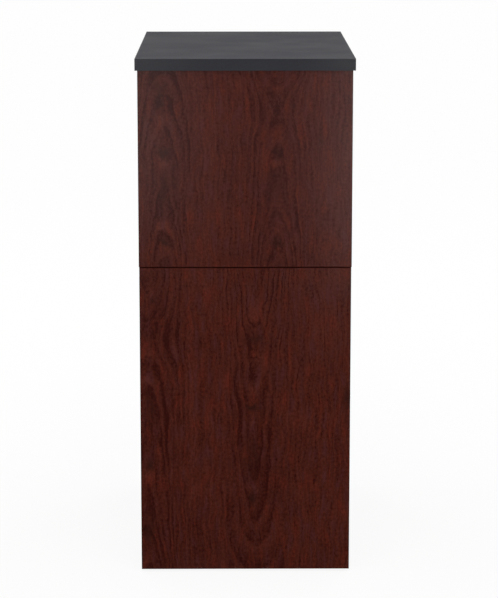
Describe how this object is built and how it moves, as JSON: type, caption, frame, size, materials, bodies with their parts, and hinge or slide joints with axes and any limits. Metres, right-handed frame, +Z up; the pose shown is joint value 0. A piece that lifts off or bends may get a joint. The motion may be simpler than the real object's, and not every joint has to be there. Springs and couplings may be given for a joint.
{
  "type": "book drop box",
  "caption": "Upright library book return cabinet with black top, fixed upper front panel, hinged lower door, rear drop slot with flap, inner chute and sprung wheeled book cart.",
  "frame": {"origin": "on the floor under the middle of the top", "axes": "+Z up, -Y out of the front with the upper panel and the door, +X to the right seen from the front"},
  "size_m": [0.52, 0.772, 1.255],
  "materials": {
    "mahogany_laminate": "satin dark mahogany laminate",
    "mahogany_edge": "satin dark edge strip",
    "black_laminate": "fine textured black laminate",
    "black_edge": "satin black edge strip",
    "core_board": "raw board",
    "zinc": "bright zinc plate",
    "steel": "plain steel",
    "bezel_metal": "brushed steel",
    "black_steel": "black powder coat",
    "galvanised_sheet": "galvanised sheet",
    "pale_plastic": "matte",
    "brass": "satin",
    "cart_grey": "grey powder coat",
    "carpet": "looped carpet",
    "nylon": "matte",
    "rubber": "matte",
    "wheel_rubber": "matte tread with a grey hub"
  },
  "bodies": {
    "cabinet": {"left_side": "mahogany_laminate", "right_side": "mahogany_laminate", "back_panel": "mahogany_laminate", "upper_front_panel": "mahogany_laminate", "upper_panel_edge_band": "mahogany_edge", "top_panel": "black_laminate", "top_edge_band": "black_edge", "top_rail_front": "core_board", "top_rail_rear": "core_board", "mid_rail": "mahogany_laminate", "corner_brackets": "zinc", "panel_screws": "zinc", "floor_glides": "rubber", "door_bumpers": "rubber", "slot_bezel": "bezel_metal", "bezel_screws": "black_steel", "flap_pin": "zinc", "chute": "galvanised_sheet", "cart_guides": "nylon", "magnetic_catch": "pale_plastic", "hinge_leaf_cabinet": "black_steel", "hinge_pin": "zinc", "hinge_screws_cabinet": "zinc", "lock_barrel": "zinc", "lock_nut": "zinc"},
    "door": {"door_panel": "mahogany_laminate", "door_edge_band": "mahogany_edge", "hinge_leaf_door": "black_steel", "hinge_screws_door": "zinc", "catch_strike": "zinc", "lock_strike": "zinc", "strike_screws": "zinc"},
    "lock": {"lock_plug": "brass", "lock_cam": "zinc", "lock_cam_screw": "steel"},
    "flap": {"drop_flap": "black_steel"},
    "cart": {"cart_base": "black_laminate", "cart_frame": "cart_grey", "cart_side_walls": "cart_grey", "cart_rear_wall": "cart_grey", "cart_front_gate": "cart_grey", "push_handle": "black_steel", "guide_rods": "zinc", "rod_collars": "steel", "platform_springs": "steel", "caster_plates": "zinc", "caster_bolts": "zinc", "rigid_forks": "zinc", "rigid_axles": "steel"},
    "platform": {"platform_board": "core_board", "platform_pad": "carpet", "platform_bushes": "nylon"},
    "swivel_left": {"swivel_fork_left": "zinc", "swivel_axle_left": "steel"},
    "swivel_right": {"swivel_fork_right": "zinc", "swivel_axle_right": "steel"},
    "front_left_wheel": {"wheel_front_left": "wheel_rubber"},
    "front_right_wheel": {"wheel_front_right": "wheel_rubber"},
    "rear_left_wheel": {"wheel_rear_left": "wheel_rubber"},
    "rear_right_wheel": {"wheel_rear_right": "wheel_rubber"}
  },
  "joints": [
    {"name": "door_hinge", "type": "hinge", "parent": "cabinet", "child": "door", "pos_m": [-0.251, -0.3615, 0.38], "axis": [0, 0, -1], "range_deg": [0, 120]},
    {"name": "lock_turn", "type": "hinge", "parent": "cabinet", "child": "lock", "pos_m": [0.254, -0.319, 0.43], "axis": [1, 0, 0], "range_deg": [0, 90]},
    {"name": "flap_hinge", "type": "hinge", "parent": "cabinet", "child": "flap", "pos_m": [0, 0.3705, 1.083], "axis": [-1, 0, 0], "range_deg": [0, 75]},
    {"name": "cart_roll", "type": "slide", "parent": "cabinet", "child": "cart", "axis": [0, -1, 0], "range_m": [0, 0.32]},
    {"name": "platform_slide", "type": "slide", "parent": "cart", "child": "platform", "axis": [0, 0, 1], "range_m": [-0.29, 0], "stiffness_N_per_m": 1350, "springref_m": 0.05, "deforming": ["platform_springs"]},
    {"name": "swivel_left_turn", "type": "hinge", "parent": "cart", "child": "swivel_left", "pos_m": [-0.13741, -0.18841, 0.0963], "axis": [0, 0, 1], "continuous": true},
    {"name": "swivel_right_turn", "type": "hinge", "parent": "cart", "child": "swivel_right", "pos_m": [0.13741, -0.18841, 0.0963], "axis": [0, 0, 1], "continuous": true},
    {"name": "wheel_front_left_spin", "type": "hinge", "parent": "swivel_left", "child": "front_left_wheel", "pos_m": [-0.13741, -0.16041, 0.0375], "axis": [1, 0, 0], "continuous": true},
    {"name": "wheel_front_right_spin", "type": "hinge", "parent": "swivel_right", "child": "front_right_wheel", "pos_m": [0.13741, -0.16041, 0.0375], "axis": [1, 0, 0], "continuous": true},
    {"name": "wheel_rear_left_spin", "type": "hinge", "parent": "cart", "child": "rear_left_wheel", "pos_m": [-0.13741, 0.25541, 0.0375], "axis": [1, 0, 0], "continuous": true},
    {"name": "wheel_rear_right_spin", "type": "hinge", "parent": "cart", "child": "rear_right_wheel", "pos_m": [0.13741, 0.25541, 0.0375], "axis": [1, 0, 0], "continuous": true}
  ],
  "couplings": [
    {"joint": "cart_roll", "follows": "door_hinge", "m_per_rad": 0.15}
  ]
}
